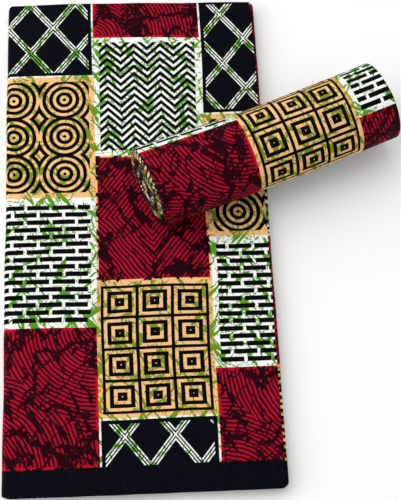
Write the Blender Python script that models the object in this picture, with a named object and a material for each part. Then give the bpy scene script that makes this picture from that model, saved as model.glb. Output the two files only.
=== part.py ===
"""Wax-print cotton cloth as it is sold: one length folded flat, and a second length of the same
cloth, folded the same way and rolled up, lying across the first one's right edge.

Metres, +Z up. The folded length's long side runs along Y, and its spine, where the outer leaf
turns under, is at -X. The origin is on the ground, under the middle of the whole heap's box.
"""

import math

import bmesh
import bpy

MM = 0.001

# Driving dimensions of the cloth
CLOTH_WIDTH = 1.15
FOLD_WIDTH = 0.289
SEAM_GAP = 0.0003

# Folded length: the cloth is doubled across its width, then folded over and over
STACK_LENGTH = CLOTH_WIDTH / 2
STACK_HEIGHT = 0.014
LEAF_WALL = 0.0012
SPINE_DEPTH = 0.0055
OUTER_LEAF_SHORT = 0.0022
NEAR_CORNER = 0.010
FAR_CORNER = 0.004
STACK_CORNER = 0.006
SIDE_SLOPE = 0.002
GROOVE_DEPTH = 0.0009
EDGE_WAVE = 0.0007
EDGE_WAVE_LENGTH = 0.17

# Rolled length: half-widths at the outer turn, before the turns wind inwards
ROLL_LENGTH = 0.2845
ROLL_HALF_WIDTH = 0.0465
ROLL_HALF_HEIGHT = 0.0400
ROLL_FLAT_BELOW = 0.0361
ROLL_FLAT_SOFTNESS = 0.0012
ROLL_WALL = 0.003
ROLL_GAP = 0.0004
ROLL_FLARE = 0.01
ROLL_BOW = 0.002
ROLL_TURNS = 12
ROLL_AZIMUTH = math.radians(20.8)
ROLL_CENTRE = (0.1438, 0.0845)
FREE_END_ANGLE = math.radians(218)
FREE_END_OVERLAP = math.radians(20)
END_GROOVE = 0.0024
END_RECESS = 0.0006
LEFT_DOME = 0.0015
RIGHT_DOME = -0.003

# How finely the sections are divided
STEPS_PER_TURN = 36
ROLL_STATIONS = 8
LEAF_STATIONS = 16
SPINE_STEPS = 8
FACE_STEPS = 6
CORNER_STEPS = 3
LONG_SIDE_STEPS = 16
SHORT_SIDE_STEPS = 8
LEAF_CORNER_TURNS = (35, 65, 90)

# Hidden leaves of the folded length, from the lowest up. Each row says how far that leaf reaches
# past the nominal fold at the right, near and far edges, in millimetres, and where its waves start.
LEAVES = (
    {"right": -1.3, "near": -2.4, "far": -2.2, "phase": 0.3},
    {"right": 0.2, "near": -1.4, "far": -0.9, "phase": 2.1},
    {"right": -0.8, "near": -2.0, "far": -1.6, "phase": 4.0},
    {"right": 0.7, "near": -0.9, "far": -0.2, "phase": 5.2},
    {"right": -0.4, "near": -1.5, "far": -1.1, "phase": 1.4},
    {"right": 0.6, "near": -0.3, "far": 0.2, "phase": 3.1},
    {"right": -0.3, "near": -0.9, "far": -0.6, "phase": 0.9},
)

# Section of one leaf's edge, from its lower groove to its upper one: share of the leaf's height,
# and share of the groove's depth by which that point lies inside.
RIDGE = (
    {"height": 0.0, "groove": 1.0},
    {"height": 0.3, "groove": 0.0},
    {"height": 0.7, "groove": 0.0},
    {"height": 1.0, "groove": 1.0},
)

# Surface colours and roughness of the plain stand-in materials
FINISHES = {
    "folded_outer_leaf": ((0.62, 0.04, 0.05, 1.0), 0.62),
    "folded_inner_layers": ((0.78, 0.5, 0.24, 1.0), 0.75),
    "rolled_outer_turn": ((0.5, 0.02, 0.03, 1.0), 0.62),
    "rolled_inner_turns": ((0.72, 0.68, 0.58, 1.0), 0.75),
}


def clear_scene():
    for item in list(bpy.data.objects):
        bpy.data.objects.remove(item, do_unlink=True)


def new_collection(name):
    collection = bpy.data.collections.new(name)
    bpy.context.scene.collection.children.link(collection)
    return collection


def new_material(name):
    colour, roughness = FINISHES[name]
    material = bpy.data.materials.new(name)
    material.use_nodes = True
    shader = material.node_tree.nodes["Principled BSDF"]
    shader.inputs["Base Color"].default_value = colour
    shader.inputs["Roughness"].default_value = roughness
    shader.inputs["Metallic"].default_value = 0.0
    return material


def add_solid(name, points, faces, collection):
    """Makes one closed object from points and faces, with its faces turned outwards."""
    mesh = bpy.data.meshes.new(name)
    mesh.from_pydata(points, [], faces)
    shape = bmesh.new()
    shape.from_mesh(mesh)
    bmesh.ops.recalc_face_normals(shape, faces=shape.faces)
    shape.to_mesh(mesh)
    shape.free()
    mesh.shade_smooth()
    mesh.set_sharp_from_angle(angle=math.radians(40))
    mesh.materials.append(new_material(name))
    solid = bpy.data.objects.new(name, mesh)
    collection.objects.link(solid)
    return solid


def add_wall(name, outer, inner, collection):
    """A cloth wall between two grids of points, both indexed by station and by step."""
    stations = len(outer)
    steps = len(outer[0])
    points = [point for row in outer for point in row]
    points += [point for row in inner for point in row]

    def at(side, station, step):
        return (side * stations + station) * steps + step

    faces = []
    for station in range(stations - 1):
        for step in range(steps - 1):
            for side in (0, 1):
                faces.append((
                    at(side, station, step),
                    at(side, station + 1, step),
                    at(side, station + 1, step + 1),
                    at(side, station, step + 1),
                ))
    for station in (0, stations - 1):
        for step in range(steps - 1):
            faces.append((
                at(0, station, step),
                at(0, station, step + 1),
                at(1, station, step + 1),
                at(1, station, step),
            ))
    for step in (0, steps - 1):
        for station in range(stations - 1):
            faces.append((
                at(0, station, step),
                at(0, station + 1, step),
                at(1, station + 1, step),
                at(1, station, step),
            ))
    return add_solid(name, points, faces, collection)


# Folded length


def spine_x(height, inset):
    """The spine's X at this height, for a surface this far inside the outer one."""
    middle = STACK_HEIGHT / 2
    reach = middle - inset
    share = min(1.0, abs(height - middle) / reach)
    depth = SPINE_DEPTH - inset
    return -FOLD_WIDTH / 2 + SPINE_DEPTH - depth * math.sqrt(1.0 - share**2)


def leaf_right_edge(y):
    """The outer leaf's right edge, which turns in at its two corners."""
    edge = FOLD_WIDTH / 2 - OUTER_LEAF_SHORT
    corner = NEAR_CORNER if y < 0 else FAR_CORNER
    past = abs(y) - (STACK_LENGTH / 2 - corner)
    if past <= 0:
        return edge
    return edge - corner + math.sqrt(max(0.0, corner**2 - past**2))


def leaf_section(y, inset):
    """The outer leaf's line in the XZ plane: top face, spine, underside, from right edge to right edge."""
    middle = STACK_HEIGHT / 2
    reach = middle - inset
    right = leaf_right_edge(y)
    left = -FOLD_WIDTH / 2 + SPINE_DEPTH
    line = []
    for step in range(FACE_STEPS):
        line.append((right + (left - right) * step / FACE_STEPS, middle + reach))
    for step in range(SPINE_STEPS + 1):
        turn = math.pi * step / SPINE_STEPS
        line.append((left - (SPINE_DEPTH - inset) * math.sin(turn), middle + reach * math.cos(turn)))
    for step in range(1, FACE_STEPS + 1):
        line.append((left + (right - left) * step / FACE_STEPS, middle - reach))
    return [(x, y * slope_scale(z), z) for x, z in line]


def slope_scale(height):
    """The near and far sides lean in a little towards the ground."""
    return 1 - SIDE_SLOPE / (STACK_LENGTH / 2) * (1 - height / STACK_HEIGHT)


def leaf_stations():
    """Y of each section, closer together where the corners turn in."""
    near = -STACK_LENGTH / 2 + NEAR_CORNER
    far = STACK_LENGTH / 2 - FAR_CORNER
    bends = [math.sin(math.radians(angle)) for angle in LEAF_CORNER_TURNS]
    rows = [near - NEAR_CORNER * bend for bend in reversed(bends)]
    rows += [near + (far - near) * step / LEAF_STATIONS for step in range(LEAF_STATIONS + 1)]
    rows += [far + FAR_CORNER * bend for bend in bends]
    return rows


def make_outer_leaf(collection):
    rows = leaf_stations()
    outer = [leaf_section(y, 0.0) for y in rows]
    inner = [leaf_section(y, LEAF_WALL) for y in rows]
    return add_wall("folded_outer_leaf", outer, inner, collection)


def stack_outline(left, right, near, far, inset, phase):
    """A rectangle with round corners and slightly wavy sides, anticlockwise from the near left corner."""
    radius = STACK_CORNER
    corners = (
        (left + radius, near + radius, 180, SHORT_SIDE_STEPS, 1.0),
        (right - radius, near + radius, 270, LONG_SIDE_STEPS, 1.0),
        (right - radius, far - radius, 0, SHORT_SIDE_STEPS, 1.0),
        (left + radius, far - radius, 90, LONG_SIDE_STEPS, 0.0),
    )
    points = []
    for index, (x, y, start, steps, waves) in enumerate(corners):
        for step in range(CORNER_STEPS + 1):
            turn = math.radians(start + 90 * step / CORNER_STEPS)
            points.append((x + (radius - inset) * math.cos(turn), y + (radius - inset) * math.sin(turn)))
        turn = math.radians(start + 90)
        normal = (math.cos(turn), math.sin(turn))
        next_x, next_y = corners[(index + 1) % len(corners)][:2]
        span = math.dist((x, y), (next_x, next_y))
        for step in range(1, steps):
            share = step / steps
            wave = math.sin(2 * math.pi * span * share / EDGE_WAVE_LENGTH + phase + index)
            out = radius - inset + waves * EDGE_WAVE * wave * math.sin(math.pi * share)
            points.append((
                x + (next_x - x) * share + normal[0] * out,
                y + (next_y - y) * share + normal[1] * out,
            ))
    return points


def make_inner_layers(collection):
    """The hidden leaves as one solid, each leaf a rounded ridge round the edges."""
    clear = LEAF_WALL + SEAM_GAP
    height = (STACK_HEIGHT - 2 * clear) / len(LEAVES)
    rings = []
    for number, leaf in enumerate(LEAVES):
        right = FOLD_WIDTH / 2 + leaf["right"] * MM
        near = -STACK_LENGTH / 2 - leaf["near"] * MM
        far = STACK_LENGTH / 2 + leaf["far"] * MM
        # A leaf's lower groove is the one that the leaf below has made already
        for row in RIDGE if number == 0 else RIDGE[1:]:
            z = clear + (number + row["height"]) * height
            left = spine_x(z, clear)
            outline = stack_outline(left, right, near, far, row["groove"] * GROOVE_DEPTH, leaf["phase"])
            rings.append([(x, y, z) for x, y in outline])
    count = len(rings[0])
    points = [point for ring in rings for point in ring]
    faces = [tuple(range(count)), tuple(range((len(rings) - 1) * count, len(rings) * count))]
    for level in range(len(rings) - 1):
        for step in range(count):
            after = (step + 1) % count
            faces.append((
                level * count + step,
                level * count + after,
                (level + 1) * count + after,
                (level + 1) * count + step,
            ))
    return add_solid("folded_inner_layers", points, faces, collection)


# Rolled length


def roll_oval(angle):
    """The roll's section across its axis: an oval whose underside is pressed nearly flat."""
    forward = ROLL_HALF_WIDTH * math.cos(angle)
    up = ROLL_HALF_HEIGHT * math.sin(angle)
    above = up + ROLL_FLAT_BELOW
    pressed = (above + math.hypot(above, 2 * ROLL_FLAT_SOFTNESS)) / 2
    return forward, pressed - ROLL_FLAT_BELOW


def roll_point(along, turned, depth):
    """A point of the roll in its own axes: along the axis, turned from the free end, this deep."""
    angle = FREE_END_ANGLE - turned
    forward, up = roll_oval(angle)
    share = 2 * along / ROLL_LENGTH
    scale = (1 - depth / ROLL_HALF_WIDTH) * (1 + ROLL_FLARE * share)
    return along, forward * scale + ROLL_BOW * (1 - share**2), up * scale


def wound_depth(turned):
    """How far the cloth has wound inwards after turning this much from the free end."""
    return (ROLL_WALL + ROLL_GAP) * turned / (2 * math.pi)


def lowest_of_roll():
    """Height of the roll's underside below its axis, at its wider right end."""
    turns = [2 * math.pi * step / STEPS_PER_TURN for step in range(STEPS_PER_TURN + 1)]
    return min(roll_point(ROLL_LENGTH / 2, turned, wound_depth(turned))[2] for turned in turns)


def place_on_stack(point):
    """Turns a point from the roll's own axes and lays it on the folded length."""
    along, forward, up = point
    cosine = math.cos(ROLL_AZIMUTH)
    sine = math.sin(ROLL_AZIMUTH)
    return (
        ROLL_CENTRE[0] + along * cosine + forward * sine,
        ROLL_CENTRE[1] + along * sine - forward * cosine,
        STACK_HEIGHT + SEAM_GAP + up - lowest_of_roll(),
    )


def make_outer_turn(collection):
    overlap_steps = round(FREE_END_OVERLAP / (2 * math.pi) * STEPS_PER_TURN)
    turns = [2 * math.pi * step / STEPS_PER_TURN for step in range(STEPS_PER_TURN + overlap_steps + 1)]
    rows = [ROLL_LENGTH * (step / ROLL_STATIONS - 0.5) for step in range(ROLL_STATIONS + 1)]
    outer = []
    inner = []
    for along in rows:
        outer.append([place_on_stack(roll_point(along, turned, wound_depth(turned))) for turned in turns])
        inner.append([
            place_on_stack(roll_point(along, turned, wound_depth(turned) + ROLL_WALL)) for turned in turns
        ])
    return add_wall("rolled_outer_turn", outer, inner, collection)


def make_inner_turns(collection):
    """The hidden turns as one solid whose two ends show the winding as a spiral of ridges."""
    pitch = ROLL_WALL + ROLL_GAP
    step_angle = 2 * math.pi / STEPS_PER_TURN
    first = FREE_END_OVERLAP + 2 * ROLL_GAP / ROLL_HALF_WIDTH
    total = STEPS_PER_TURN * (ROLL_TURNS - 1)

    def depth_at(step):
        return wound_depth(first + step * step_angle) + ROLL_WALL + ROLL_GAP

    def ridge_point(end, step, crown):
        """A point of the left end, -1, or the right end, 1. A crown of 0 is a groove, and 1 a ridge."""
        depth = depth_at(step) + crown * pitch / 2
        dome = (LEFT_DOME if end < 0 else RIGHT_DOME) * depth / ROLL_HALF_WIDTH
        reach = ROLL_LENGTH / 2 - END_RECESS + dome - (1 - crown) * END_GROOVE
        return roll_point(end * reach, first + step * step_angle, depth)

    points = []
    faces = []
    grooves = {}
    crowns = {}
    for end in (-1, 1):
        for step in range(total + 1):
            grooves[end, step] = len(points)
            points.append(ridge_point(end, step, 0))
            crowns[end, step] = len(points)
            points.append(ridge_point(end, step, 1))
        for step in range(total):
            after = step + 1
            faces.append((grooves[end, step], crowns[end, step], crowns[end, after], grooves[end, after]))
        for step in range(total - STEPS_PER_TURN):
            after = step + 1
            inward = step + STEPS_PER_TURN
            faces.append((
                crowns[end, step],
                grooves[end, inward],
                grooves[end, inward + 1],
                crowns[end, after],
            ))
        rim = [crowns[end, step] for step in range(total - STEPS_PER_TURN, total + 1)]
        rim.append(grooves[end, total])
        middle = len(points)
        points.append((points[rim[0]][0], 0.0, 0.0))
        faces += [(rim[step], rim[(step + 1) % len(rim)], middle) for step in range(len(rim))]

    # Sides: the outline of the left end is carried through the stations to that of the right end
    left_rim = [grooves[-1, step] for step in range(STEPS_PER_TURN + 1)] + [crowns[-1, 0]]
    right_rim = [grooves[1, step] for step in range(STEPS_PER_TURN + 1)] + [crowns[1, 0]]
    depths = [depth_at(step) for step in range(STEPS_PER_TURN + 1)] + [depth_at(0) + pitch / 2]
    turns = [first + step * step_angle for step in range(STEPS_PER_TURN + 1)] + [first]
    before = left_rim
    for station in range(1, ROLL_STATIONS):
        along = ROLL_LENGTH * (station / ROLL_STATIONS - 0.5)
        row = []
        for turned, depth in zip(turns, depths):
            row.append(len(points))
            points.append(roll_point(along, turned, depth))
        faces += side_faces(before, row)
        before = row
    faces += side_faces(before, right_rim)
    return add_solid("rolled_inner_turns", [place_on_stack(point) for point in points], faces, collection)


def side_faces(before, after):
    count = len(before)
    return [
        (before[step], before[(step + 1) % count], after[(step + 1) % count], after[step])
        for step in range(count)
    ]


def centre_heap(solids):
    """Moves every solid so that the origin is on the ground, under the middle of the heap's box."""
    corners = [vertex.co for solid in solids for vertex in solid.data.vertices]
    middle = [(min(c[axis] for c in corners) + max(c[axis] for c in corners)) / 2 for axis in (0, 1)]
    for solid in solids:
        for vertex in solid.data.vertices:
            vertex.co.x -= middle[0]
            vertex.co.y -= middle[1]
        solid.data.update()


clear_scene()
heap = new_collection("ankara_fabric")
centre_heap([
    make_outer_leaf(heap),
    make_inner_layers(heap),
    make_outer_turn(heap),
    make_inner_turns(heap),
])
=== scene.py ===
"""Looks of the folded and rolled wax-print cotton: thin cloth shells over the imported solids.

Metres, +Z up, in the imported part's frame. The folded length's long side runs along Y, its spine is
at -X, and the rolled length lies across its right edge. Cloth coordinates are metres on the flat
cloth: u runs along the cloth's length, and v across its width, from the selvedge.
"""

import math
from collections import namedtuple

import bpy
import numpy as np
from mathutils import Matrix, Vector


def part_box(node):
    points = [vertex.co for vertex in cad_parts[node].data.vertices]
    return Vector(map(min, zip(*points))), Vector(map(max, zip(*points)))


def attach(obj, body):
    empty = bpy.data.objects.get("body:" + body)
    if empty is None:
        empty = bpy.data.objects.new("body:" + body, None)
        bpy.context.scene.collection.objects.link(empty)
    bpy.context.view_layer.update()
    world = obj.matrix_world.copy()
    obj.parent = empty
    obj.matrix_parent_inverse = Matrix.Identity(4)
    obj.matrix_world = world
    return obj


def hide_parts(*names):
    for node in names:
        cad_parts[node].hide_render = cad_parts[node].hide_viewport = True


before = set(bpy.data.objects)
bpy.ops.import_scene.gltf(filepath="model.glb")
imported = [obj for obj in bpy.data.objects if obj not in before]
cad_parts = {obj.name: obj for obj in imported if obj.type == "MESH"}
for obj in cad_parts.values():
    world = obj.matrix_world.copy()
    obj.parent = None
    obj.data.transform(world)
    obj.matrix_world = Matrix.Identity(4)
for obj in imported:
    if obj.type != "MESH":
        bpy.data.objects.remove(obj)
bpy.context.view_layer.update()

MM = 0.001

# Folded length
LEAF_LOW, LEAF_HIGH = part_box("folded_outer_leaf")
STACK_HEIGHT = LEAF_HIGH.z - LEAF_LOW.z
STACK_LENGTH = LEAF_HIGH.y - LEAF_LOW.y
OUTER_LEAF_SHORT = 2.2 * MM
FOLD_WIDTH = LEAF_HIGH.x - LEAF_LOW.x + OUTER_LEAF_SHORT
MIDDLE_X = LEAF_LOW.x + FOLD_WIDTH / 2
MIDDLE_Y = (LEAF_LOW.y + LEAF_HIGH.y) / 2
SPINE_DEPTH = 5.5 * MM
SPINE_X = MIDDLE_X - FOLD_WIDTH / 2 + SPINE_DEPTH
RIGHT_X = MIDDLE_X + FOLD_WIDTH / 2
NEAR_Y = MIDDLE_Y - STACK_LENGTH / 2
FAR_Y = MIDDLE_Y + STACK_LENGTH / 2
NEAR_CORNER = 10 * MM
FAR_CORNER = 4 * MM
CLOTH = 0.36 * MM
BETWEEN_SHEETS = 0.06 * MM
NEAR_STAGGER = 1.4 * MM
TOP_SAG = 0.5 * MM
SIDE_SLOPE = 2 * MM
EDGE_WAVE = 0.55 * MM
SPINE_END_ROUND = 2.2 * MM
FAR_TURN_IN = 1 * MM
FAR_TURN_STEPS = 5
TOP_ROWS = 110
TOP_STEPS = 56
SPINE_STEPS = 16
UNDER_STEPS = 12
HIDDEN_LEAVES = 17
HIDDEN_CLEAR = 0.95 * MM
HIDDEN_GROOVE = 1.3 * MM
HIDDEN_CORNER = 6 * MM
HIDDEN_WAVE = 0.45 * MM
CORNER_STEPS = 4
TOP_HIDDEN_OUT = 0.8 * MM
TOP_HIDDEN_U = 0.68
LEFT_OUT = 0.4 * MM
RIGHT_IN = 0.5 * MM
NEAR_LEFT_OUT = 1.5 * MM
NEAR_RIGHT_OUT = 1.4 * NEAR_LEFT_OUT
FAR_OUT = 1 * MM
FAR_BOW = 1.6 * MM
NEAR_IN = 0.6 * MM

# Rings of a hidden leaf, each as its share of the leaf's height and of the groove's depth, and the
# crest value of a flat face and the most that the selvedge has
HIDDEN_RINGS = ((0.0, 1.0), (0.12, 0.25), (0.5, 0.0), (0.88, 0.25), (1.0, 1.0))
OPEN_FACE_CREST = 0.7

# Rolled length, in its own axes: along the axis, forward towards the near side, and up
ROLL_LENGTH = 284.5 * MM
ROLL_HALF_WIDTH = 47.1 * MM
ROLL_HALF_HEIGHT = 40.0 * MM
ROLL_FLAT_BELOW = 36.1 * MM
ROLL_FLAT_SOFTNESS = 1.2 * MM
ROLL_PITCH = 3.4 * MM
ROLL_LEAVES = 2
LEAF_PITCH = ROLL_PITCH / ROLL_LEAVES
ROLL_LEAF = 1.5 * MM
ROLL_CORE = 0.4 * MM
ROLL_MEAN = (ROLL_HALF_WIDTH + ROLL_HALF_HEIGHT) / 2
PACKET = 17 * MM
PACKET_GROOVE = 1.0 * MM
PACKET_CREST = 0.3
PACKET_U = 18 * MM
PACKET_COLUMNS = 1.4
OUTER_END_BACK = 0.8 * MM
RIGHT_END_BACK = 1.2 * MM
RIGHT_END_OUT = 2.0 * MM
LEFT_END_BACK = 4.4 * MM
LEFT_END_OUT = 1.0 * MM
LEFT_END_LEAN = math.radians(60)
LEFT_END_WIDER = 0.06
LEFT_END_WIDEST = math.radians(150)
ROLL_FLARE = 0.01
ROLL_BOW = 2.0 * MM
ROLL_FORWARD = 1.0 * MM
ROLL_SWELL = 0.006
ROLL_TURNS = 14
ROLL_AZIMUTH = math.radians(20.8)
ROLL_X = MIDDLE_X + 143.8 * MM
ROLL_Y = MIDDLE_Y + 84.5 * MM
ROLL_SEAT = STACK_HEIGHT + 0.3 * MM
FREE_END_ANGLE = math.radians(218)
LEFT_DOME = 1.5 * MM
RIGHT_DOME = -3.0 * MM
OUTER_END = 2 * math.pi + 0.35
OUTER_PER_TURN = 150
OUTER_STATIONS = 48
HIDDEN_STARTS = (2 * math.pi + 0.37, -0.13)
HIDDEN_PER_TURN = 72
HIDDEN_STATIONS = 4
EDGE_BENDS = (-60, -20, 20, 60)
OTHER_STRETCH = 30 * MM
STOP_GAP = 0.004

# Print, in cloth metres
SELVEDGE_BAND = 28 * MM
BLOCK_U = 124 * MM
BLOCK_V = 150 * MM
BLOCK_STEP = BLOCK_V / 3
BLOCK_BORDER = 2.0 * MM
BLOCK_MARGIN = 6 * MM
RED_LINE_PITCH = 4.3 * MM
RED_LINE_SHARE = 0.44
RED_MARGIN = 3.0 * MM
THREAD_PITCH = 0.42 * MM
STROKE_SOFTNESS = 0.02
FOLDED_U = 0.031
ROLLED_U = 1.267
ROLLED_V = 0.545

# Camera, fitted to the photograph, and the studio
CAMERA_PLACE = (MIDDLE_X - 0.0078, MIDDLE_Y - 0.4873, 1.2437)
CAMERA_TURN = (0.36087, -0.04391, -0.04665)
CAMERA_LENS = 86.4
FLOOR_Z = -0.4 * MM
FLOOR_SIZE = 8.0
WORLD_STRENGTH = 0.7


def srgb(red, green, blue):
    """A display colour, 0 to 255, as the linear colour that the shader takes."""
    linear = []
    for value in (red / 255, green / 255, blue / 255):
        linear.append(value / 12.92 if value <= 0.04045 else ((value + 0.055) / 1.055) ** 2.4)
    return (*linear, 1.0)


RED = srgb(200, 3, 30)
CRIMSON = srgb(150, 14, 44)
RED_LINE = srgb(42, 1, 8)
RED_VEIN = srgb(30, 1, 12)
INK = srgb(5, 4, 8)
NAVY = srgb(6, 6, 16)
ORANGE = srgb(239, 188, 126)
WHITE = srgb(242, 243, 238)
GREEN = srgb(84, 146, 22)
OLIVE = srgb(120, 136, 26)
FOLD_EDGE = srgb(247, 218, 180)
# Painted shade for the grooves between folds at the roll's ends and the hidden leaves' edges, and
# how far it covers their colour
PAINTED_GAP_SHADE = srgb(24, 8, 8)
PAINTED_GAP_SHADE_SHARE = 0.95


# Shader arithmetic


class Graph:
    """Makes shader nodes from plain arithmetic."""

    def __init__(self, tree):
        self.tree = tree

    def node(self, kind, **settings):
        made = self.tree.nodes.new(kind)
        for name, value in settings.items():
            setattr(made, name, value)
        return made

    def feed(self, socket, value):
        if isinstance(value, Value):
            value = value.socket
        if isinstance(value, bpy.types.NodeSocket):
            self.tree.links.new(value, socket)
        else:
            socket.default_value = value

    def math(self, operation, *values):
        made = self.node("ShaderNodeMath", operation=operation)
        for socket, value in zip(made.inputs, values):
            self.feed(socket, value)
        return Value(self, made.outputs[0])

    def mix(self, share, first, second):
        """The first colour where share is 0, the second where it is 1."""
        made = self.node("ShaderNodeMix", data_type="RGBA")
        self.feed(made.inputs["Factor"], share)
        self.feed(made.inputs[6], first)
        self.feed(made.inputs[7], second)
        return Value(self, made.outputs[2])

    def vector(self, x, y, z=0.0):
        made = self.node("ShaderNodeCombineXYZ")
        for socket, value in zip(made.inputs, (x, y, z)):
            self.feed(socket, value)
        return Value(self, made.outputs[0])

    def split(self, vector):
        made = self.node("ShaderNodeSeparateXYZ")
        self.feed(made.inputs[0], vector)
        return [Value(self, socket) for socket in made.outputs]

    def noise(self, vector, scale, detail=2.0, roughness=0.5, distortion=0.0):
        made = self.node("ShaderNodeTexNoise", noise_dimensions="2D")
        self.feed(made.inputs["Vector"], vector)
        made.inputs["Scale"].default_value = scale
        made.inputs["Detail"].default_value = detail
        made.inputs["Roughness"].default_value = roughness
        made.inputs["Distortion"].default_value = distortion
        return Value(self, made.outputs[0])

    def cracks(self, vector, scale):
        """Distance to the nearest wall of a net of irregular cells."""
        made = self.node("ShaderNodeTexVoronoi", voronoi_dimensions="2D")
        made.feature = "DISTANCE_TO_EDGE"
        self.feed(made.inputs["Vector"], vector)
        made.inputs["Scale"].default_value = scale
        return Value(self, made.outputs["Distance"])

    def ramp(self, value, low, high):
        """0 at low, 1 at high, with a soft bend at both ends. High may be below low."""
        made = self.node("ShaderNodeMapRange", interpolation_type="SMOOTHSTEP")
        self.feed(made.inputs["Value"], value)
        made.inputs["From Min"].default_value = low
        made.inputs["From Max"].default_value = high
        return Value(self, made.outputs[0])

    def branches(self, vector, scale, detail, roughness, outside, inside):
        """Thin branching lines, where a noise is near its middle."""
        level = self.noise(vector, scale, detail=detail, roughness=roughness) - 0.5
        return self.ramp(level.size(), outside, inside)

    def slant(self, u, v, lean, along, across):
        """Cloth coordinates leaned and stretched, so that a noise on them runs slantwise."""
        return self.vector((u + lean * v) * along, (v - lean * u) * across)

    def strokes(self, vector, scale, level):
        """Broken strokes, where a noise rises over a level."""
        height = self.noise(vector, scale, detail=4.0, roughness=0.62, distortion=0.4)
        return self.ramp(height, level, level + STROKE_SOFTNESS)

    def bump(self, height, strength, distance):
        made = self.node("ShaderNodeBump")
        made.inputs["Strength"].default_value = strength
        made.inputs["Distance"].default_value = distance
        self.feed(made.inputs["Height"], height)
        return made


class Value:
    """A node's output that can be added, multiplied and so on."""

    def __init__(self, graph, socket):
        self.graph = graph
        self.socket = socket

    def __add__(self, other):
        return self.graph.math("ADD", self, other)

    __radd__ = __add__

    def __sub__(self, other):
        return self.graph.math("SUBTRACT", self, other)

    def __rsub__(self, other):
        return self.graph.math("SUBTRACT", other, self)

    def __mul__(self, other):
        return self.graph.math("MULTIPLY", self, other)

    __rmul__ = __mul__

    def __truediv__(self, other):
        return self.graph.math("DIVIDE", self, other)

    def floor(self):
        return self.graph.math("FLOOR", self)

    def part(self):
        """The part after the point, from 0 to 1."""
        return self.graph.math("FRACT", self)

    def wrap(self, size):
        return self - size * (self / size).floor()

    def size(self):
        return self.graph.math("ABSOLUTE", self)

    def least(self, other):
        return self.graph.math("MINIMUM", self, other)

    def most(self, other):
        return self.graph.math("MAXIMUM", self, other)

    def below(self, limit):
        return self.graph.math("LESS_THAN", self, limit)

    def is_number(self, number):
        return (self - number).size().below(0.5)


# Motifs: each takes a place in its block, in metres, and gives 1 on a line and 0 between lines


def stripes(phase, share):
    return phase.part().below(share)


def within(x, y, margin):
    """1 inside the block, away from its edges by the margin."""
    inside_x = (x - BLOCK_U / 2).size().below(BLOCK_U / 2 - margin)
    inside_y = (y - BLOCK_V / 2).size().below(BLOCK_V / 2 - margin)
    return inside_x * inside_y


def cells(x, y, across, along):
    """Cells inside the block's margin: the place in one, from -0.5 to 0.5, and its size."""
    width = (BLOCK_U - 2 * BLOCK_MARGIN) / across
    length = (BLOCK_V - 2 * BLOCK_MARGIN) / along
    cell_x = ((x - BLOCK_MARGIN) / width).part() - 0.5
    cell_y = ((y - BLOCK_MARGIN) / length).part() - 0.5
    return cell_x, cell_y, width, length


def lozenge_motif(graph, x, y):
    """Close lines, lozenge inside lozenge, from the block's middle."""
    slope_x, slope_y = 0.79, 0.61
    reach = (x - BLOCK_U / 2).size() * slope_x + (y - BLOCK_V / 2).size() * slope_y
    return stripes(reach / RED_LINE_PITCH, RED_LINE_SHARE) * within(x, y, RED_MARGIN)


def fan_motif(graph, x, y):
    """Close arcs spreading from two opposite corners until they meet."""
    near = graph.math("SQRT", x * x + y * y)
    far_x = BLOCK_U - x
    far_y = BLOCK_V - y
    far = graph.math("SQRT", far_x * far_x + far_y * far_y)
    return stripes(near.least(far) / RED_LINE_PITCH, RED_LINE_SHARE) * within(x, y, RED_MARGIN)


def chevron_motif(graph, x, y):
    """Heavy zigzag lines across the block."""
    peaks, height, pitch, inked = 4, 29 * MM, 9.2 * MM, 0.56
    rise = ((x / (BLOCK_U / peaks)).part() - 0.5).size() * height
    return stripes((y + rise) / pitch, inked) * within(x, y, BLOCK_MARGIN)


def nested_motif(graph, x, y):
    """Twelve cells, each with squares one in another."""
    squares, offset, inked, frame_line = 4.6, 0.08, 0.55, 1.4 * MM
    across, along, _, _ = cells(x, y, 3, 4)
    reach = across.size().most(along.size())
    return stripes(reach * squares - offset, inked) * within(x, y, BLOCK_MARGIN - frame_line)


def brick_motif(graph, x, y):
    """Heavy short bars set like bricks."""
    height, length, inked_high, inked_long = 8.63 * MM, 28 * MM, 0.62, 0.88
    row = (y - BLOCK_MARGIN) / height
    shift = row.floor().wrap(2.0) * 0.5
    column = (x - BLOCK_MARGIN) / length + shift
    return stripes(row, inked_high) * stripes(column, inked_long) * within(x, y, BLOCK_MARGIN)


def ring_motif(graph, x, y):
    """Six rounds of rings, cut where they meet."""
    pitch, offset, inked = 7.6 * MM, 0.3, 0.55
    cell_x, cell_y, width, length = cells(x, y, 2, 3)
    across = cell_x * width
    along = cell_y * length
    radius = graph.math("SQRT", across * across + along * along)
    return stripes(radius / pitch + offset, inked) * within(x, y, BLOCK_MARGIN)


def lattice_motif(graph, x, y):
    """Dark lozenges between slanting bands, each band three light lines. 1 is the dark."""
    pitch, slope, band_half, line, offset = 52 * MM, 0.8, 0.125, 0.072, 0.25
    falling = (((x + slope * y) / pitch).part() - 0.5).size()
    rising = (((x - slope * y) / pitch).part() - 0.5).size()
    nearest = falling.least(rising)
    band = stripes(nearest / line + offset, 0.5) * nearest.below(band_half)
    return 1.0 - band * within(x, y, BLOCK_MARGIN)


# Each kind of block: its motif, the colours of its ground, lines, veins and the line round it, and
# 1 where its veins are wider than the common ones
Block = namedtuple("Block", "motif ground lines veins border heavy")
BLOCKS = (
    Block(fan_motif, RED, RED_LINE, RED_VEIN, RED, 1.0),
    Block(nested_motif, ORANGE, INK, OLIVE, ORANGE, 0.0),
    Block(brick_motif, WHITE, INK, GREEN, WHITE, 0.0),
    Block(lozenge_motif, RED, RED_LINE, RED_VEIN, ORANGE, 1.0),
    Block(ring_motif, ORANGE, INK, OLIVE, ORANGE, 0.0),
    Block(chevron_motif, WHITE, INK, GREEN, WHITE, 0.0),
    Block(lattice_motif, WHITE, NAVY, GREEN, WHITE, 0.0),
)


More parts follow.
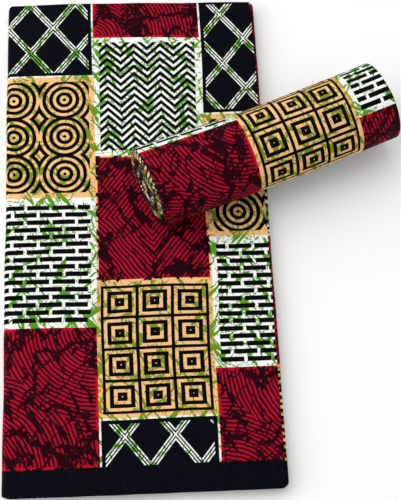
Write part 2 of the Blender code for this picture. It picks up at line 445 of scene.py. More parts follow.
def make_print_group():
    """The wax print as a node group: cloth coordinates in, colour out."""
    tree = bpy.data.node_groups.new("wax_print", "ShaderNodeTree")
    tree.interface.new_socket("Cloth", in_out="INPUT", socket_type="NodeSocketVector")
    tree.interface.new_socket("Colour", in_out="OUTPUT", socket_type="NodeSocketColor")
    graph = Graph(tree)
    cloth = graph.node("NodeGroupInput").outputs["Cloth"]
    u, v, _ = graph.split(cloth)

    # Hand printing: the whole print wanders a little
    wander_u, wander_v = 5 * MM, 4 * MM
    u = u + (graph.noise(cloth, scale=5.0, detail=1.0) - 0.5) * wander_u
    v = v + (graph.noise(graph.vector(v, u), scale=6.0, detail=1.0) - 0.5) * wander_v

    # Blocks stand in columns, each column a third of a block further on than the last
    column = (u / BLOCK_U).floor()
    raised = v - SELVEDGE_BAND - column * BLOCK_STEP
    row = (raised / BLOCK_V).floor()
    kind = (column + 2.0 * row).wrap(float(len(BLOCKS)))
    x = u - column * BLOCK_U
    y = raised - row * BLOCK_V

    # Veins: where the wax cracked, thin branching lines, slanting strokes and patches
    bend = 24 * MM
    drift = graph.noise(cloth, scale=34.0, detail=3.0)
    sway = graph.noise(graph.vector(v, u), scale=30.0, detail=3.0)
    bent = graph.vector(u + drift * bend, v + sway * bend)
    net = graph.ramp(graph.cracks(bent, scale=30.0), low=0.05, high=0.03)
    ridges = graph.branches(
        bent, scale=36.0, detail=4.0, roughness=0.6, outside=0.015, inside=0.008
    )
    cracked = graph.ramp(graph.noise(cloth, scale=15.0, detail=2.0), low=0.42, high=0.56)
    slanted = graph.slant(u, v, lean=0.6, along=2.6, across=0.6)
    crossed = graph.slant(u, v, lean=-0.9, along=2.4, across=0.7)
    strokes = graph.strokes(slanted, scale=38.0, level=0.585)
    counter = graph.strokes(crossed, scale=34.0, level=0.6)
    veins = (net * cracked).most(ridges).most(strokes).most(counter)
    branches = graph.branches(
        bent, scale=14.0, detail=5.0, roughness=0.52, outside=0.028, inside=0.02
    )
    streaks = graph.branches(
        crossed, scale=9.0, detail=5.0, roughness=0.6, outside=0.023, inside=0.015
    )
    wide_veins = strokes.most(branches).most(streaks)

    # Hand-cut lines: the motifs waver, most of all on the widely veined blocks
    fine_waver, wide_waver = 1.0 * MM, 4.0 * MM
    wavered = {
        0.0: (x + (drift - 0.5) * fine_waver, y + (sway - 0.5) * fine_waver),
        1.0: (x + (drift - 0.5) * wide_waver, y + (drift - 0.5) * wide_waver),
    }
    ground, line_colour, border_colour, vein_colour = RED, RED_LINE, WHITE, RED_VEIN
    lines, heavy = 0.0, 0.0
    for number, block in enumerate(BLOCKS):
        here = kind.is_number(float(number))
        lines = block.motif(graph, *wavered[block.heavy]) * here + lines
        heavy = block.heavy * here + heavy
        ground = graph.mix(here, ground, block.ground)
        line_colour = graph.mix(here, line_colour, block.lines)
        border_colour = graph.mix(here, border_colour, block.border)
        vein_colour = graph.mix(here, vein_colour, block.veins)
    dulled = graph.ramp(graph.noise(slanted, scale=60.0, detail=2.0), low=0.3, high=0.6)
    ground = graph.mix((0.5 + 0.5 * dulled) * heavy, ground, CRIMSON)
    edge = (x.least(BLOCK_U - x)).least(y.least(BLOCK_V - y))
    border = edge.below(BLOCK_BORDER)
    ground = graph.mix(border, ground, border_colour)
    lines = lines * (1.0 - border)

    printed = graph.mix(veins + (wide_veins - veins) * heavy, ground, vein_colour)
    printed = graph.mix(lines, printed, line_colour)
    printed = graph.mix(v.below(SELVEDGE_BAND), printed, NAVY)
    out = graph.node("NodeGroupOutput")
    tree.links.new(printed.socket, out.inputs["Colour"])
    return tree


def make_cotton(name, print_group, roughness, wear, folded_edge=0.0):
    """Printed plain-weave cotton. Wear is how far the colour is dusted and faded.

    Folded_edge is how far the attribute "crest" lightens rubbed folds, and where it is given, the
    gaps between the folds, where crest is low, are darkened with painted shade.
    """
    material = bpy.data.materials.new(name)
    material.use_nodes = True
    tree = material.node_tree
    shader = tree.nodes["Principled BSDF"]
    graph = Graph(tree)
    cloth = graph.node("ShaderNodeAttribute", attribute_name="cloth").outputs["Vector"]
    u, v, _ = graph.split(cloth)
    group = graph.node("ShaderNodeGroup")
    group.node_tree = print_group
    tree.links.new(cloth, group.inputs["Cloth"])

    # Tone: slubs in the yarn and a slow change across the cloth
    slubs = graph.noise(graph.vector(u * 0.25, v), scale=900.0, detail=1.0)
    slow = graph.noise(cloth, scale=7.0, detail=2.0)
    tone = 0.93 + 0.08 * slubs + 0.06 * slow
    tinted = graph.node("ShaderNodeHueSaturation")
    tree.links.new(group.outputs["Colour"], tinted.inputs["Color"])
    graph.feed(tinted.inputs["Value"], tone)
    faded = graph.mix(wear * graph.ramp(slubs, low=0.5, high=0.8), tinted.outputs[0], WHITE)
    if folded_edge:
        crest = graph.node("ShaderNodeAttribute", attribute_name="crest").outputs["Fac"]
        rubbed = graph.ramp(crest, low=0.7, high=0.95) * folded_edge
        faded = graph.mix(rubbed, faded, FOLD_EDGE)
        # Painted shade: where crest is low, in the grooves between folds, the colour is darkened
        # nearly to black
        painted_gap_shade = graph.ramp(crest, low=0.52, high=0.28) * PAINTED_GAP_SHADE_SHARE
        faded = graph.mix(painted_gap_shade, faded, PAINTED_GAP_SHADE)
    graph.feed(shader.inputs["Base Color"], faded)

    # Plain weave: warp and weft threads cross over each other, and the cloth puckers softly
    threads = 2 * math.pi / THREAD_PITCH
    weave = graph.math("SINE", u * threads) * graph.math("SINE", v * threads)
    pucker = graph.noise(cloth, scale=62.0, detail=3.0, roughness=0.55)
    soft = graph.bump(pucker, strength=0.5, distance=0.7 * MM)
    fine = graph.bump(weave * 0.5 + slubs, strength=0.35, distance=0.05 * MM)
    tree.links.new(soft.outputs[0], fine.inputs["Normal"])
    tree.links.new(fine.outputs[0], shader.inputs["Normal"])
    graph.feed(shader.inputs["Roughness"], roughness + 0.12 * slubs)
    shader.inputs["Specular IOR Level"].default_value = 0.025
    shader.inputs["Sheen Weight"].default_value = 0.01
    shader.inputs["Sheen Roughness"].default_value = 0.5
    return material


# Mesh building


def add_piece(name, points, faces, cloth, material, sharp=50, crests=None):
    """Makes a mesh piece, with its place on the flat cloth kept for each point."""
    mesh = bpy.data.meshes.new(name)
    mesh.from_pydata([tuple(point) for point in points], [], faces)
    mesh.update()
    place = mesh.attributes.new("cloth", "FLOAT_VECTOR", "POINT")
    flat = np.zeros((len(points), 3), dtype=np.float32)
    flat[:, :2] = cloth
    place.data.foreach_set("vector", flat.ravel())
    if crests is not None:
        crest = mesh.attributes.new("crest", "FLOAT", "POINT")
        crest.data.foreach_set("value", np.array(crests, dtype=np.float32))
    mesh.shade_smooth()
    mesh.set_sharp_from_angle(angle=math.radians(sharp))
    mesh.materials.append(material)
    piece = bpy.data.objects.new(name, mesh)
    bpy.context.scene.collection.objects.link(piece)
    return piece


def turn_outwards(piece):
    """Makes the faces of a closed mesh point out, by the sign of its volume."""
    mesh = piece.data
    mesh.calc_loop_triangles()
    points = np.array([vertex.co for vertex in mesh.vertices])
    corners = np.array([triangle.vertices for triangle in mesh.loop_triangles])
    a, b, c = (points[corners[:, column]] for column in range(3))
    if np.einsum("ij,ij->i", a, np.cross(b, c)).sum() < 0:
        mesh.flip_normals()


def ring_faces(rings, count):
    """The quads between rings of points, each ring closed round."""
    faces = []
    for here in range(0, (rings - 1) * count, count):
        for step in range(count):
            after = (step + 1) % count
            faces.append((here + step, here + after, here + count + after, here + count + step))
    return faces


def sweep(rings, count):
    """Faces of a tube through rings of points, capped with a strip at both ends."""
    faces = ring_faces(rings, count)
    for here, turned in ((0, True), ((rings - 1) * count, False)):
        for step in range(count // 2 - 1):
            face = (here + step, here + step + 1, here + count - 2 - step, here + count - 1 - step)
            faces.append(face[::-1] if turned else face)
    return faces


# Flat layout of each piece's faces, for baking its colours, where what shows gets the most room. A
# box is left, right, bottom and top in the layout's square, or across a strip's own height.


class Grid:
    """The quads between rings of points, with each corner's ring, or row, and its step round it."""

    def __init__(self, piece, first_face, first_point, rows, count):
        mesh = piece.data
        starts = np.empty(len(mesh.polygons), dtype=int)
        mesh.polygons.foreach_get("loop_start", starts)
        vertices = np.empty(len(mesh.loops), dtype=int)
        mesh.loops.foreach_get("vertex_index", vertices)
        total = (rows - 1) * count
        self.face_row, self.face_step = np.divmod(np.arange(total), count)
        self.loops = starts[first_face:first_face + total, None] + np.arange(4)
        self.row, self.step = np.divmod(vertices[self.loops] - first_point, count)
        self.step[(self.face_step[:, None] == count - 1) & (self.step == 0)] = count

    def turned(self):
        """The same quads with rows and steps exchanged."""
        self.face_row, self.face_step = self.face_step, self.face_row
        self.row, self.step = self.step, self.row
        return self

    def lay(self, places, row_at, step_at, cuts, bands, low, high):
        """Lays the quads out in strips between low and high.

        Cuts are the rows of points that part one strip from the next. Each band is a range of steps
        and its box in a strip.
        """
        strip = np.searchsorted(cuts, self.face_row, side="right") - 1
        start = row_at[cuts[strip]][:, None]
        end = row_at[cuts[strip + 1]][:, None]
        along = (row_at[self.row] - start) / (end - start)
        height = (high - low) / (len(cuts) - 1)
        for first, last, left, right, bottom, top in bands:
            here = (self.face_step >= first) & (self.face_step < last)
            across = (step_at[self.step[here]] - step_at[first]) / (step_at[last] - step_at[first])
            up = strip[here][:, None] + bottom + (top - bottom) * across
            places[self.loops[here], 0] = left + (right - left) * along[here]
            places[self.loops[here], 1] = low + height * up


def lay_caps(piece, places, first_face, first_point, rings, count, boxes):
    """Lays out the strips that close a sweep's two ends, each in its box."""
    faces = list(piece.data.polygons)
    per_cap = count // 2 - 1
    for cap, (left, right, low, high) in enumerate(boxes):
        start = first_face + (rings - 1) * count + cap * per_cap
        for face in faces[start:start + per_cap]:
            for loop in face.loop_indices:
                point = (piece.data.loops[loop].vertex_index - first_point) % count
                onward = min(point, count - 1 - point) / per_cap
                places[loop] = (right if point < count // 2 else left, low + (high - low) * onward)


def set_layout(piece, places):
    layer = piece.data.uv_layers.new(name="OFBake")
    layer.uv.foreach_set("vector", places.astype(np.float32).ravel())


def run_lengths(points):
    """Length along a line of points, from its first to each."""
    steps = np.linalg.norm(np.diff(np.array(points, dtype=float), axis=0), axis=1)
    return np.concatenate(([0.0], np.cumsum(steps)))


# Folded length


def spine_point(turn, inset):
    """X and Z on the spine, from the top face at 0 to the underside at pi, this far inside."""
    middle = STACK_HEIGHT / 2
    x = SPINE_X - (SPINE_DEPTH - inset) * math.sin(turn)
    return x, middle + (middle - inset) * math.cos(turn)


def leaf_right_edge(y):
    """The outer leaf's right edge, which turns in at its two corners."""
    edge = RIGHT_X - OUTER_LEAF_SHORT
    y -= MIDDLE_Y
    corner = NEAR_CORNER if y < 0 else FAR_CORNER
    past = abs(y) - (STACK_LENGTH / 2 - corner)
    if past <= 0:
        return edge
    return edge - corner + math.sqrt(max(0.0, corner**2 - past**2))


def sloped(y, z):
    """Y drawn in towards the middle, more so lower down."""
    drawn_in = SIDE_SLOPE / (STACK_LENGTH / 2) * (1 - z / STACK_HEIGHT)
    return MIDDLE_Y + (y - MIDDLE_Y) * (1 - drawn_in)


def hand_folded(x, y):
    """The bundle's plan as folded by hand: wider at its near end, its far edge bowed out."""
    across = (x - MIDDLE_X) / FOLD_WIDTH + 0.5
    nearness = 0.5 - (y - MIDDLE_Y) / STACK_LENGTH
    left = -LEFT_OUT - NEAR_LEFT_OUT * nearness
    right = -RIGHT_IN + NEAR_RIGHT_OUT * nearness
    bowed = FAR_OUT + FAR_BOW * math.sin(math.pi * min(1.0, max(0.0, across)))
    far = bowed * max(0.0, 1 - nearness) ** 4
    near = -NEAR_IN * max(0.0, nearness) ** 4
    return x + left + (right - left) * across, y + far + near


def edge_wave(place, phase):
    """Small uneven run of an edge that was folded by hand."""
    wave = math.sin(place * 29 + phase) + 0.6 * math.sin(place * 67 + 2.3 * phase)
    return EDGE_WAVE * wave / 1.6


def top_sag(x, y):
    """How far the top face lies below its highest, in soft uneven swells."""
    swell = (
        math.sin(31.0 * x + 11.0 * y + 0.6)
        + 0.8 * math.sin(17.0 * y - 23.0 * x + 2.1)
        + 0.5 * math.sin(53.0 * y + 19.0 * x)
    )
    return TOP_SAG * (0.5 + 0.5 * math.tanh(swell))


def folded_section():
    """The doubled cloth's section along Y: each point's place, depth below the outer face and v.

    Also gives how many points its outer face and each face of its inner sheet have.
    """
    length = FAR_Y - NEAR_Y - FAR_TURN_IN
    rows = [NEAR_Y + length * step / TOP_ROWS for step in range(TOP_ROWS + 1)]
    second = CLOTH + BETWEEN_SHEETS
    total = second + CLOTH
    section = [(y, 0.0, y - NEAR_Y) for y in rows]
    for turn in np.linspace(0, math.pi, FAR_TURN_STEPS + 2)[1:-1]:
        section.append((
            rows[-1] + total / 2 * math.sin(turn),
            total / 2 * (1 - math.cos(turn)),
            rows[-1] - NEAR_Y + total / 2 * turn,
        ))
    back = [y for y in reversed(rows) if y > NEAR_Y + NEAR_STAGGER]
    section += [(y, total, 2 * STACK_LENGTH - (y - NEAR_Y)) for y in back]
    section += [(y, second, 2 * STACK_LENGTH - (y - NEAR_Y)) for y in reversed(back)]
    section.append((rows[-1] + BETWEEN_SHEETS / 2, CLOTH + BETWEEN_SHEETS / 2, STACK_LENGTH))
    section += [(y, CLOTH, y - NEAR_Y) for y in reversed(rows)]
    return section, len(rows) + FAR_TURN_STEPS, len(back)


def folded_place(step, y, depth):
    """X, Z and u on the outer leaf: over the top, round the spine and underneath, as steps go."""
    right = leaf_right_edge(min(max(y, NEAR_Y), FAR_Y))
    if step <= TOP_STEPS:
        share = step / TOP_STEPS
        x = right + (SPINE_X - right) * share
        settle = math.sin(math.pi * share) ** 0.5 if 0 < share < 1 else 0.0
        return x, STACK_HEIGHT - depth - settle * top_sag(x, y), x - SPINE_X
    spine_arc = math.pi * (STACK_HEIGHT / 2 + SPINE_DEPTH) / 2
    if step <= TOP_STEPS + SPINE_STEPS:
        turn = math.pi * (step - TOP_STEPS) / SPINE_STEPS
        return *spine_point(turn, depth), -spine_arc * turn / math.pi
    share = (step - TOP_STEPS - SPINE_STEPS) / UNDER_STEPS
    x = SPINE_X + (right - SPINE_X) * share
    return x, depth, -spine_arc - (x - SPINE_X)


def hand_laid(x, y, z):
    """A point of the outer leaf with its wavy edges and rounded spine, in the hand-folded plan."""
    across = (x - MIDDLE_X) / (FOLD_WIDTH / 2)
    onward = (y - MIDDLE_Y) / (STACK_LENGTH / 2)
    rounded = max(0.0, SPINE_X - x) / SPINE_DEPTH
    x += edge_wave(y, 0.4) * max(0.0, -across) ** 6 + edge_wave(y, 2.9) * max(0.0, across) ** 6
    y += edge_wave(x, 1.7) * max(0.0, -onward) ** 6 + edge_wave(x, 5.1) * max(0.0, onward) ** 6
    y -= SPINE_END_ROUND * rounded**2 * math.copysign(abs(onward) ** 8, onward)
    return *hand_folded(x, sloped(y, z)), z


def make_folded_cloth(material):
    """The outer leaf, doubled at the far edge: over the top, round the spine and underneath."""
    section, over, back = folded_section()
    count = len(section)
    rings = TOP_STEPS + SPINE_STEPS + UNDER_STEPS + 1
    points = []
    cloth = []
    for step in range(rings):
        for y, depth, v in section:
            x, z, u = folded_place(step, y, depth)
            points.append(hand_laid(x, y, z))
            cloth.append((FOLDED_U + u, v))
    piece = add_piece("folded_cloth", points, sweep(rings, count), cloth, material)
    turn_outwards(piece)

    # The outer face is the wide band, and the faces that are hidden inside the leaf are narrow
    shares = (0.58 / TOP_STEPS, 0.04 / SPINE_STEPS, 0.1 / UNDER_STEPS)
    room = np.repeat(shares, (TOP_STEPS, SPINE_STEPS, UNDER_STEPS))
    bands = (
        (0, over, 0.004, 0.724, 0.012, 0.996),
        (over, over + back - 1, 0.730, 0.805, 0.004, 0.996),
        (over + back - 1, over + 2 * back, 0.811, 0.886, 0.004, 0.996),
        (over + 2 * back, count - 1, 0.892, 0.967, 0.004, 0.996),
        (count - 1, count, 0.004, 0.724, 0.002, 0.007),
    )
    caps = ((0.973, 0.981, 0.004, 0.996), (0.987, 0.995, 0.004, 0.996))
    places = np.zeros((len(piece.data.loops), 2))
    row_at = np.cumsum([0.0, *room])
    step_at = run_lengths([place[:2] for place in section + section[:1]])
    grid = Grid(piece, 0, 0, rings, count)
    grid.lay(places, row_at, step_at, np.array([0, rings - 1]), bands, 0.0, 1.0)
    lay_caps(piece, places, 0, 0, rings, count, caps)
    set_layout(piece, places)
    return piece


def hidden_outline(leaf, inset):
    """One leaf's edge line, anticlockwise from the near left corner, with its wavy sides."""
    radius = HIDDEN_CORNER
    left, right, near, far = leaf["left"], leaf["right"], leaf["near"], leaf["far"]

    # Each corner's middle and first heading, and the steps and waves of the side after it
    corners = (
        (left + radius, near + radius, 180, 56, 1.0),
        (right - radius, near + radius, 270, 110, 1.0),
        (right - radius, far - radius, 0, 56, 1.0),
        (left + radius, far - radius, 90, 12, 0.0),
    )
    points = []
    for index, (x, y, start, steps, waves) in enumerate(corners):
        for step in range(CORNER_STEPS + 1):
            turn = math.radians(start + 90 * step / CORNER_STEPS)
            points.append((
                x + (radius - inset) * math.cos(turn),
                y + (radius - inset) * math.sin(turn),
            ))
        turn = math.radians(start + 90)
        next_x, next_y = corners[(index + 1) % 4][:2]
        length = math.dist((x, y), (next_x, next_y))
        for step in range(1, steps):
            share = step / steps
            along = length * share
            wave = math.sin(along * 37 + leaf["phase"] + index)
            wave += 0.5 * math.sin(along * 93 + 2 * leaf["phase"])
            out = radius - inset + waves * HIDDEN_WAVE * wave * math.sin(math.pi * share)
            points.append((
                x + (next_x - x) * share + math.cos(turn) * out,
                y + (next_y - y) * share + math.sin(turn) * out,
            ))
    return points


def hidden_leaves():
    """The hidden leaves' uneven edges and places on the cloth, from the lowest leaf up."""
    chance = np.random.default_rng(7)
    leaves = []
    for number in range(HIDDEN_LEAVES):
        lean = 1 - (number + 0.5) / HIDDEN_LEAVES
        leaves.append({
            "right": RIGHT_X + chance.uniform(-1.4, 0.9) * MM,
            "near": NEAR_Y + (0.3 + 1.6 * lean + chance.uniform(-0.5, 0.5)) * MM,
            "far": FAR_Y - (0.2 + 1.4 * lean + chance.uniform(-0.5, 0.5)) * MM,
            "phase": chance.uniform(0, 6),
            "start_u": chance.uniform(0, 5),
            "facing": -1 if number % 2 else 1,
        })
    leaves[-1].update(right=RIGHT_X + TOP_HIDDEN_OUT, start_u=TOP_HIDDEN_U)
    return leaves


def make_folded_layers(material):
    """The hidden leaves, each a thin rounded fold at the right, near and far edges."""
    low = HIDDEN_CLEAR
    height = (STACK_HEIGHT - TOP_SAG - HIDDEN_CLEAR - low) / HIDDEN_LEAVES
    middle = STACK_HEIGHT / 2
    points = []
    cloth = []
    crests = []
    rings = 0
    for number, leaf in enumerate(hidden_leaves()):
        for share, groove in HIDDEN_RINGS if number == 0 else HIDDEN_RINGS[1:]:
            z = low + (number + share) * height
            turn = math.acos(max(-1.0, min(1.0, (z - middle) / (middle - HIDDEN_CLEAR))))
            leaf["left"] = spine_point(turn, HIDDEN_CLEAR)[0]
            open_face = number in (0, HIDDEN_LEAVES - 1) and groove == 1.0
            for x, y in hidden_outline(leaf, groove * HIDDEN_GROOVE):
                points.append((*hand_folded(x, y), z))
                u = leaf["start_u"] + leaf["facing"] * (leaf["right"] - x)
                cloth.append((u, y - NEAR_Y))
                # Crest is low in the grooves between leaves, which the edge material darkens with
                # painted shade, and high on their rounded edges, which it lightens as rubbed
                crest = 1.0 - groove
                if y < NEAR_Y + SELVEDGE_BAND:
                    crest = min(OPEN_FACE_CREST, crest)
                crests.append(OPEN_FACE_CREST if open_face else crest)
            rings += 1
    count = len(points) // rings
    faces = [tuple(reversed(range(count))), tuple(range(count * (rings - 1), count * rings))]
    faces += ring_faces(rings, count)
    piece = add_piece("folded_layers", points, faces, cloth, material, sharp=80, crests=crests)
    turn_outwards(piece)

    # The sides in four strips, the flat top and bottom beside each other above them
    places = np.zeros((len(piece.data.loops), 2))
    around = run_lengths(points[:count] + points[:1])
    cuts = np.searchsorted(around, np.linspace(0, around[-1], 5)[:-1])
    cuts = np.append(cuts, count)
    rise = np.cumsum([0.0] + [1.0, 1.5, 1.5, 1.0] * HIDDEN_LEAVES)
    bands = ((0, rings - 1, 0.004, 0.996, 0.015, 0.985),)
    Grid(piece, 2, 0, rings, count).turned().lay(places, around, rise, cuts, bands, 0.0, 0.81)
    for number, left in ((0, 0.03), (1, 0.53)):
        for loop in piece.data.polygons[number].loop_indices:
            x, y, _ = piece.data.vertices[piece.data.loops[loop].vertex_index].co
            onward = (y - MIDDLE_Y) / STACK_LENGTH + 0.5
            across = (x - MIDDLE_X) / FOLD_WIDTH + 0.5
            places[loop] = (left + 0.44 * onward, 0.83 + 0.15 * across)
    set_layout(piece, places)
    return piece


# Rolled length


def roll_oval(angle):
    """The roll's section across its axis: an oval whose underside is pressed nearly flat."""
    above = ROLL_HALF_HEIGHT * math.sin(angle) + ROLL_FLAT_BELOW
    pressed = (above + math.hypot(above, 2 * ROLL_FLAT_SOFTNESS)) / 2
    return ROLL_HALF_WIDTH * math.cos(angle), pressed - ROLL_FLAT_BELOW


def roll_point(along, turned, depth):
    """A point of the roll in its own axes: along the axis, turned from the free end, this deep."""
    angle = FREE_END_ANGLE - turned
    forward, up = roll_oval(angle)
    share = 2 * along / ROLL_LENGTH
    swell = (
        math.sin(3 * angle + 24 * along)
        + math.sin(2 * angle - 41 * along + 1.3)
        + math.sin(5 * angle + 17 * along)
    )
    wider = LEFT_END_WIDER * max(0.0, -share) ** 1.2 * max(0.0, math.cos(angle - LEFT_END_WIDEST))
    scale = (1 - depth / ROLL_HALF_WIDTH) * (1 + ROLL_FLARE * share + wider)
    scale -= ROLL_SWELL * (1 + swell / 3)
    return along, forward * scale + ROLL_BOW * (1 - share**2) + ROLL_FORWARD, up * scale


def wound_depth(turned):
    return ROLL_PITCH * turned / (2 * math.pi)


ROLL_LOWEST = min(
    roll_point(ROLL_LENGTH / 2, turned, wound_depth(turned))[2]
    for turned in [2 * math.pi * step / 36 for step in range(37)]
)


def place_roll_point(point):
    """Turns a point from the roll's own axes and lays it on the folded length."""
    along, forward, up = point
    cosine = math.cos(ROLL_AZIMUTH)
    sine = math.sin(ROLL_AZIMUTH)
    return (
        ROLL_X + along * cosine + forward * sine,
        ROLL_Y + along * sine - forward * cosine,
        ROLL_SEAT + up - ROLL_LOWEST,
    )


def wound_length(turned):
    """Length of cloth from the free end to this turn."""
    return turned * (ROLL_MEAN - wound_depth(turned) / 2)


def packet_place(turned, depth):
    """Where a point lies in the thick packet that the folded length is rolled up as.

    Gives its share of the packet's thickness and its length of cloth from the free end.
    """
    round_angle = turned % (2 * math.pi)
    layers = depth / PACKET - round_angle / (2 * math.pi)
    packet_turned = round_angle + 2 * math.pi * math.floor(layers)
    length = packet_turned * (ROLL_MEAN - PACKET * packet_turned / (4 * math.pi))
    return layers - math.floor(layers), length


def winding_stops(number, start, end, per_turn):
    """Angles of a leaf's rings, two of them close where another stretch of cloth takes over."""

    def stretch(turned):
        return packet_place(turned, wound_depth(turned) + number * LEAF_PITCH)[1]

    steps = max(2, round((end - start) / (2 * math.pi) * per_turn))
    stops = [start]
    for step in range(1, steps + 1):
        low = stops[-1]
        high = start + (end - start) * step / steps
        if abs(stretch(low) - stretch(high)) > OTHER_STRETCH:
            after = high
            for _ in range(12):
                middle = (low + high) / 2
                if abs(stretch(low) - stretch(middle)) < OTHER_STRETCH / 2:
                    low = middle
                else:
                    high = middle
            if low > stops[-1]:
                stops.append(low)
            stops.append(low + STOP_GAP)
            high = max(after, low + 2 * STOP_GAP)
        stops.append(high)
    return stops


def smooth_step(value, low, high):
    """0 up to low and 1 from high on, with a soft bend at both ends."""
    share = min(1.0, max(0.0, (value - low) / (high - low)))
    return share * share * (3 - 2 * share)


def right_end_back(turned):
    """How far the roll's right end lies back, most of all over its top and back."""
    angle = math.degrees(FREE_END_ANGLE - turned) % 360
    upper = smooth_step(angle, 68, 102) - smooth_step(angle, 190, 280)
    return RIGHT_END_BACK * upper - RIGHT_END_OUT


def left_end_back(turned):
    """How far the roll's left end lies back, most of all over its top, so that it leans."""
    angle = FREE_END_ANGLE - turned
    return LEFT_END_BACK * (0.5 + 0.5 * math.cos(angle - LEFT_END_LEAN)) - LEFT_END_OUT


def roll_ring(stations):
    """How many points a ring of a roll's leaf has."""
    return 2 * (stations + len(EDGE_BENDS))


def end_bends(edge, facing):
    """The rounded edge of a roll's leaf, as places along the axis and depths, from its middle."""
    half = ROLL_LEAF / 2
    middle = edge - facing * half
    bends = []
    for turn in (math.radians(bend) for bend in EDGE_BENDS):
        along = middle + facing * half * math.cos(turn)
        bends.append((along, half + facing * half * math.sin(turn)))
    return bends


def roll_leaf(number, start, end, per_turn, stations, hidden, chance):
    """One leaf of the roll: rings of points across it, wound from start to end."""
    innermost = ROLL_HALF_WIDTH - ROLL_LEAF - ROLL_CORE - number * LEAF_PITCH
    end = min(end, 2 * math.pi * innermost / ROLL_PITCH)
    phase = chance.uniform(0, 6)
    ends = chance.uniform(-0.5, 0.5, 2) * MM
    half = ROLL_LEAF / 2
    points = []
    cloth = []
    crests = []
    for turned in winding_stops(number, start, end, per_turn):
        base = wound_depth(turned) + number * LEAF_PITCH
        share = base / ROLL_HALF_WIDTH
        layer, length = packet_place(turned, base)
        fall = 0.5 + 0.5 * math.cos(2 * math.pi * (layer + PACKET_CREST))

        # The hidden folds' ends lie back between thick turns, and drift a little
        back = OUTER_END_BACK
        if hidden:
            drift = 0.35 * MM * math.sin(turned * 0.83 + phase)
            drift += 0.2 * MM * math.sin(turned * 2.9 + 2 * phase)
            back = PACKET_GROOVE * (fall - 0.5) + drift
        left = -ROLL_LENGTH / 2 - LEFT_DOME * share + back + hidden * ends[0]
        right = ROLL_LENGTH / 2 + RIGHT_DOME * share - back + hidden * ends[1]
        left += left_end_back(turned) * (1 - share)
        right -= right_end_back(turned) * (1 - share)
        width = right - left - 2 * half
        run = [left + half + width * station / (stations - 1) for station in range(stations)]
        outline = [(along, 0.0) for along in run] + end_bends(right, 1)
        outline += [(along, ROLL_LEAF) for along in reversed(run)] + end_bends(left, -1)

        # The folds that show at an end are printed from other columns than the outer leaf
        u = ROLLED_U + hidden * (PACKET_COLUMNS * BLOCK_U + PACKET_U * layer)
        v = ROLLED_V - (length if hidden else wound_length(turned))
        for along, depth in outline:
            points.append(place_roll_point(roll_point(along, turned, base + depth)))
            cloth.append((u + along, v))
            # Crest is low in the grooves between thick turns, which the end material darkens with
            # painted shade
            crests.append(1.0 - fall)
    return points, cloth, crests


def lay_roll_leaf(
    piece, places, first_face, first_point, points, stations, strips, bands, low, high
):
    """Lays out one leaf of the roll in strips, each band of them a side or an edge of the leaf."""
    count = roll_ring(stations)
    wound = run_lengths(points[::count])
    cuts = np.searchsorted(wound, np.linspace(0, wound[-1], strips + 1)[:-1])
    cuts = np.append(cuts, len(wound) - 1)
    bends = len(EDGE_BENDS)
    ends = (0, stations - 1, stations + bends, 2 * stations + bends - 1, count)
    boxes = [(first, last, 0.004, 0.996, *band) for first, last, band in zip(ends, ends[1:], bands)]
    grid = Grid(piece, first_face, first_point, len(wound), count)
    grid.lay(places, wound, np.arange(count + 1.0), cuts, boxes, low, high)


def make_rolled_cloth(material):
    """The outer turn, from the free end once round and a little under itself."""
    chance = np.random.default_rng(3)
    points, cloth, _ = roll_leaf(0, 0.0, OUTER_END, OUTER_PER_TURN, OUTER_STATIONS, 0, chance)
    count = roll_ring(OUTER_STATIONS)
    rings = len(points) // count
    piece = add_piece("rolled_cloth", points, sweep(rings, count), cloth, material)
    turn_outwards(piece)

    # Bands: the outer side, which shows, the right edge, the inner side and the left edge
    bands = ((0.004, 0.72), (0.73, 0.755), (0.765, 0.93), (0.94, 0.965))
    caps = ((0.01, 0.49, 0.972, 0.996), (0.51, 0.99, 0.972, 0.996))
    places = np.zeros((len(piece.data.loops), 2))
    lay_roll_leaf(piece, places, 0, 0, points, OUTER_STATIONS, 1, bands, 0.0, 1.0)
    lay_caps(piece, places, 0, 0, rings, count, caps)
    set_layout(piece, places)
    return piece


def make_rolled_layers(material):
    """All the other leaves of the roll, wound inwards to its middle."""
    chance = np.random.default_rng(11)
    count = roll_ring(HIDDEN_STATIONS)
    end = 2 * math.pi * ROLL_TURNS
    points = []
    faces = []
    cloth = []
    crests = []
    leaves = []
    for number, start in enumerate(HIDDEN_STARTS):
        leaf, on_cloth, leaf_crests = roll_leaf(
            number, start, end, HIDDEN_PER_TURN, HIDDEN_STATIONS, 1, chance
        )
        shift = len(points)
        leaves.append((len(faces), shift, leaf))
        for face in sweep(len(leaf) // count, count):
            faces.append(tuple(corner + shift for corner in face))
        points += leaf
        cloth += on_cloth
        crests += leaf_crests
    piece = add_piece("rolled_layers", points, faces, cloth, material, crests=crests)
    turn_outwards(piece)

    # Each leaf has half the height. Its edges, which show at the roll's ends, are the wide bands
    bands = ((0.83, 0.89), (0.44, 0.80), (0.92, 0.98), (0.04, 0.40))
    half = 0.49
    places = np.zeros((len(piece.data.loops), 2))
    for number, (first_face, first_point, leaf) in enumerate(leaves):
        low = half * number
        high = low + half
        lay_roll_leaf(
            piece, places, first_face, first_point, leaf, HIDDEN_STATIONS, 10, bands, low, high
        )
        cap_lefts = (0.01 + 0.5 * number, 0.26 + 0.5 * number)
        caps = [(left, left + 0.2, 0.984, 0.996) for left in cap_lefts]
        lay_caps(piece, places, first_face, first_point, len(leaf) // count, count, caps)
    set_layout(piece, places)
    return piece


# Studio


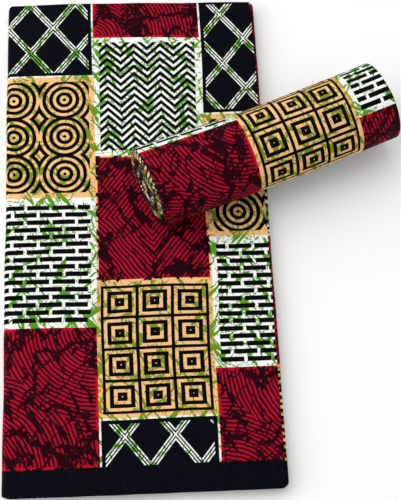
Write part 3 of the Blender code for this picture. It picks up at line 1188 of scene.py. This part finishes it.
def make_stage():
    """A plain pale floor, soft light and the camera at the photograph's angle."""
    scene = bpy.context.scene
    bpy.ops.mesh.primitive_plane_add(size=FLOOR_SIZE, location=(0.0, 0.0, FLOOR_Z))
    floor = bpy.context.object
    floor.name = "floor"
    material = bpy.data.materials.new("pale_floor")
    material.use_nodes = True
    shader = material.node_tree.nodes["Principled BSDF"]
    shader.inputs["Base Color"].default_value = (0.96, 0.96, 0.96, 1.0)
    shader.inputs["Roughness"].default_value = 0.9
    floor.data.materials.append(material)

    world = bpy.data.worlds.new("studio")
    world.use_nodes = True
    background = world.node_tree.nodes["Background"]
    background.inputs["Color"].default_value = (1.0, 1.0, 1.0, 1.0)
    background.inputs["Strength"].default_value = WORLD_STRENGTH
    scene.world = world
    add_light("key_light", (-0.6, 0.8, 2.1), size=2.4, power=17.5)
    add_light("side_light", (-1.7, 0.0, 0.9), size=1.6, power=15.0)

    camera = bpy.data.objects.new("photo_camera", bpy.data.cameras.new("photo_camera"))
    scene.collection.objects.link(camera)
    camera.location = CAMERA_PLACE
    camera.rotation_euler = CAMERA_TURN
    camera.data.lens = CAMERA_LENS
    camera.data.sensor_width = 36.0
    camera.data.clip_start = 0.01
    scene.camera = camera
    scene.view_settings.view_transform = "Standard"


def add_light(name, place, size, power):
    """A soft round lamp that is aimed at the middle of the floor."""
    lamp = bpy.data.lights.new(name, "AREA")
    lamp.shape = "DISK"
    lamp.size = size
    lamp.energy = power
    light = bpy.data.objects.new(name, lamp)
    light.location = place
    bpy.context.scene.collection.objects.link(light)
    aim = bpy.data.objects.new(name + "_aim", None)
    bpy.context.scene.collection.objects.link(aim)
    track = light.constraints.new("TRACK_TO")
    track.target = aim
    track.track_axis = "TRACK_NEGATIVE_Z"
    track.up_axis = "UP_Y"


def declare(piece, node):
    """Puts a piece in its solid's place, on the one body."""
    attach(piece, "root")
    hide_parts(node)


wax_print = make_print_group()
folded_cotton = make_cotton("folded_print", wax_print, roughness=0.55, wear=0.004)
# The fold-edge and roll-end materials also darken the grooves between folds with painted shade
edge_cotton = make_cotton("fold_edge_print_and_painted_shade", wax_print, roughness=0.7, wear=0.01, folded_edge=0.3)
rolled_cotton = make_cotton("rolled_print", wax_print, roughness=0.55, wear=0.004)
end_cotton = make_cotton("roll_end_print_and_painted_shade", wax_print, roughness=0.7, wear=0.01, folded_edge=0.08)

folded_cloth = make_folded_cloth(folded_cotton)
folded_layers = make_folded_layers(edge_cotton)
rolled_cloth = make_rolled_cloth(rolled_cotton)
rolled_layers = make_rolled_layers(end_cotton)

declare(folded_cloth, "folded_outer_leaf")
declare(folded_layers, "folded_inner_layers")
declare(rolled_cloth, "rolled_outer_turn")
declare(rolled_layers, "rolled_inner_turns")

make_stage()
